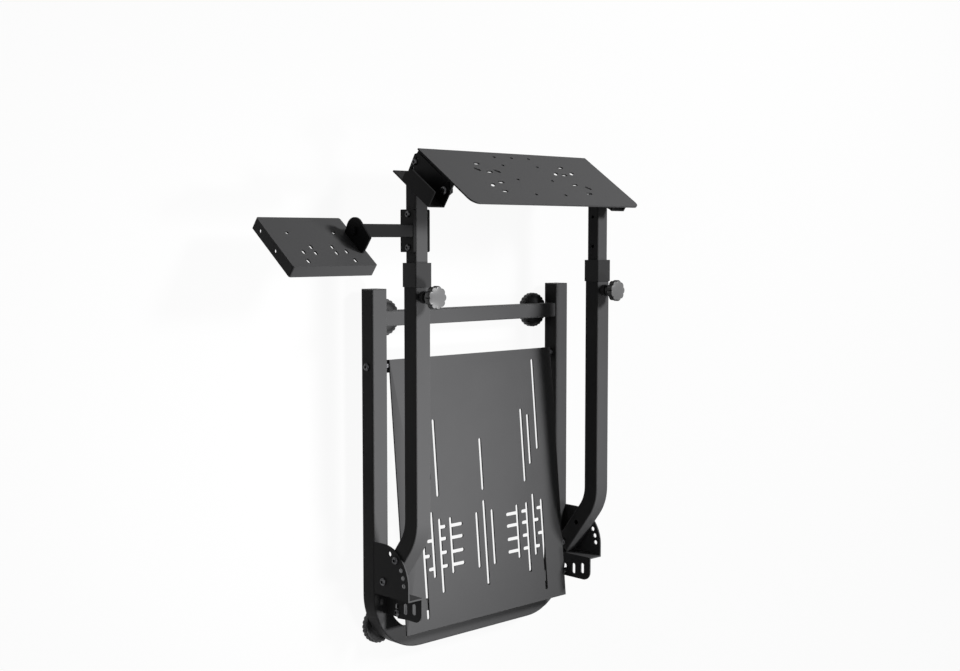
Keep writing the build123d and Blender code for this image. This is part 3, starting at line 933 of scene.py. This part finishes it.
@dataclass
class Studio:
    """White floor, soft lamps and the photograph's camera.

    The camera's place is in millimetres. A backdrop whose own white is 0.8 shows as full white
    to the camera, while reflections keep the 0.8.
    """

    eye: tuple[float, float, float] = (-1476.65, 271.11, 1740.12)
    right: tuple[float, float, float] = (0.72594, 0.0, 0.68776)
    up: tuple[float, float, float] = (0.04924, 0.99743, -0.05197)
    back: tuple[float, float, float] = (-0.68599, 0.07159, 0.72407)
    lens: float = 50.92
    sensor: float = 36.0
    sight: float = 50.0
    floor_reach: float = 30.0
    floor_tone: float = 0.82
    floor_bounce: float = 0.08
    floor_white: float = 0.94
    ambient: float = 0.06
    backdrop_lift: float = 0.25
    lamps: tuple[Lamp, ...] = (
        Lamp("key", (1.2, 1.1, 2.3), (0.1, 0.1, 0.1), size=0.5, watts=62.0),
        Lamp("left", (0.75, -0.6, 1.7), (-0.14, -0.05, 0.1), size=0.2, watts=150.0, beam=34.0),
    )

    def camera(self) -> None:
        """Places the camera from its solved position and axes."""
        data = bpy.data.cameras.new("camera")
        data.lens = self.lens
        data.sensor_width = self.sensor
        data.sensor_fit = "HORIZONTAL"
        data.clip_end = self.sight
        made = bpy.data.objects.new("camera", data)
        bpy.context.collection.objects.link(made)
        turn = Matrix((self.right, self.up, self.back)).transposed().to_4x4()
        made.matrix_world = Matrix.Translation([v * MM for v in self.eye]) @ turn
        bpy.context.scene.camera = made

    def floor(self) -> None:
        """Lays a floor that the camera sees white with a faint shadow, and that bounces little."""
        mesh = bpy.data.meshes.new("floor")
        a = self.floor_reach
        corners = [(-a, -a, 0.0), (a, -a, 0.0), (a, a, 0.0), (-a, a, 0.0)]
        mesh.from_pydata(corners, [], [(0, 1, 2, 3)])
        made = bpy.data.objects.new("floor", mesh)
        bpy.context.collection.objects.link(made)
        book = NodeBook(bpy.data.materials.new("floor_white"))
        seen, shiny, through = (book.rays(kind) for kind in ("Camera", "Glossy", "Transmission"))
        tone = book.blend(seen, (self.floor_bounce,) * 3, (self.floor_tone,) * 3)
        cloth = book.node("ShaderNodeBsdfDiffuse", None, {"Color": tone})
        glow = book.node("ShaderNodeEmission", None, {"Color": (1, 1, 1, 1), "Strength": 1.0})
        share = (seen * self.floor_white + shiny + through).clamp(0.0, 1.0)
        book.close(book.node("ShaderNodeMixShader", None, {0: share, 1: cloth, 2: glow}))
        mesh.materials.append(book.owner)

    def world(self) -> None:
        """Lights everything a little from all round, and shows white behind the floor."""
        world = bpy.data.worlds.new("world")
        bpy.context.scene.world = world
        book = NodeBook(world)
        seen, shiny, through = (book.rays(kind) for kind in ("Camera", "Glossy", "Transmission"))
        share = (seen + shiny + through).clamp(0.0, 1.0)
        soft = book.node("ShaderNodeBackground", None, {"Strength": self.ambient})
        lift = seen * self.backdrop_lift + 1.0
        white = book.node("ShaderNodeBackground", None, {"Strength": lift})
        mixed = book.node("ShaderNodeMixShader", None, {0: share, 1: soft, 2: white})
        book.close(mixed, "ShaderNodeOutputWorld")

    def make(self) -> None:
        """Builds floor, lamps and camera."""
        self.floor()
        self.world()
        for lamp in self.lamps:
            lamp.hang()
        self.camera()
        bpy.context.scene.view_settings.view_transform = "Standard"


def main() -> None:
    """Loads the frame and dresses it."""
    logging.basicConfig(level=logging.INFO, format="%(name)s: %(message)s")
    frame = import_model()
    stand = Stand(frame["nodes"])
    stand.make_finishes()
    stand.trim_pedal_board()
    stand.dress(frame["record"]["subparts"])
    stand.fasten()
    Studio().make()


if __name__ == "__main__":
    main()
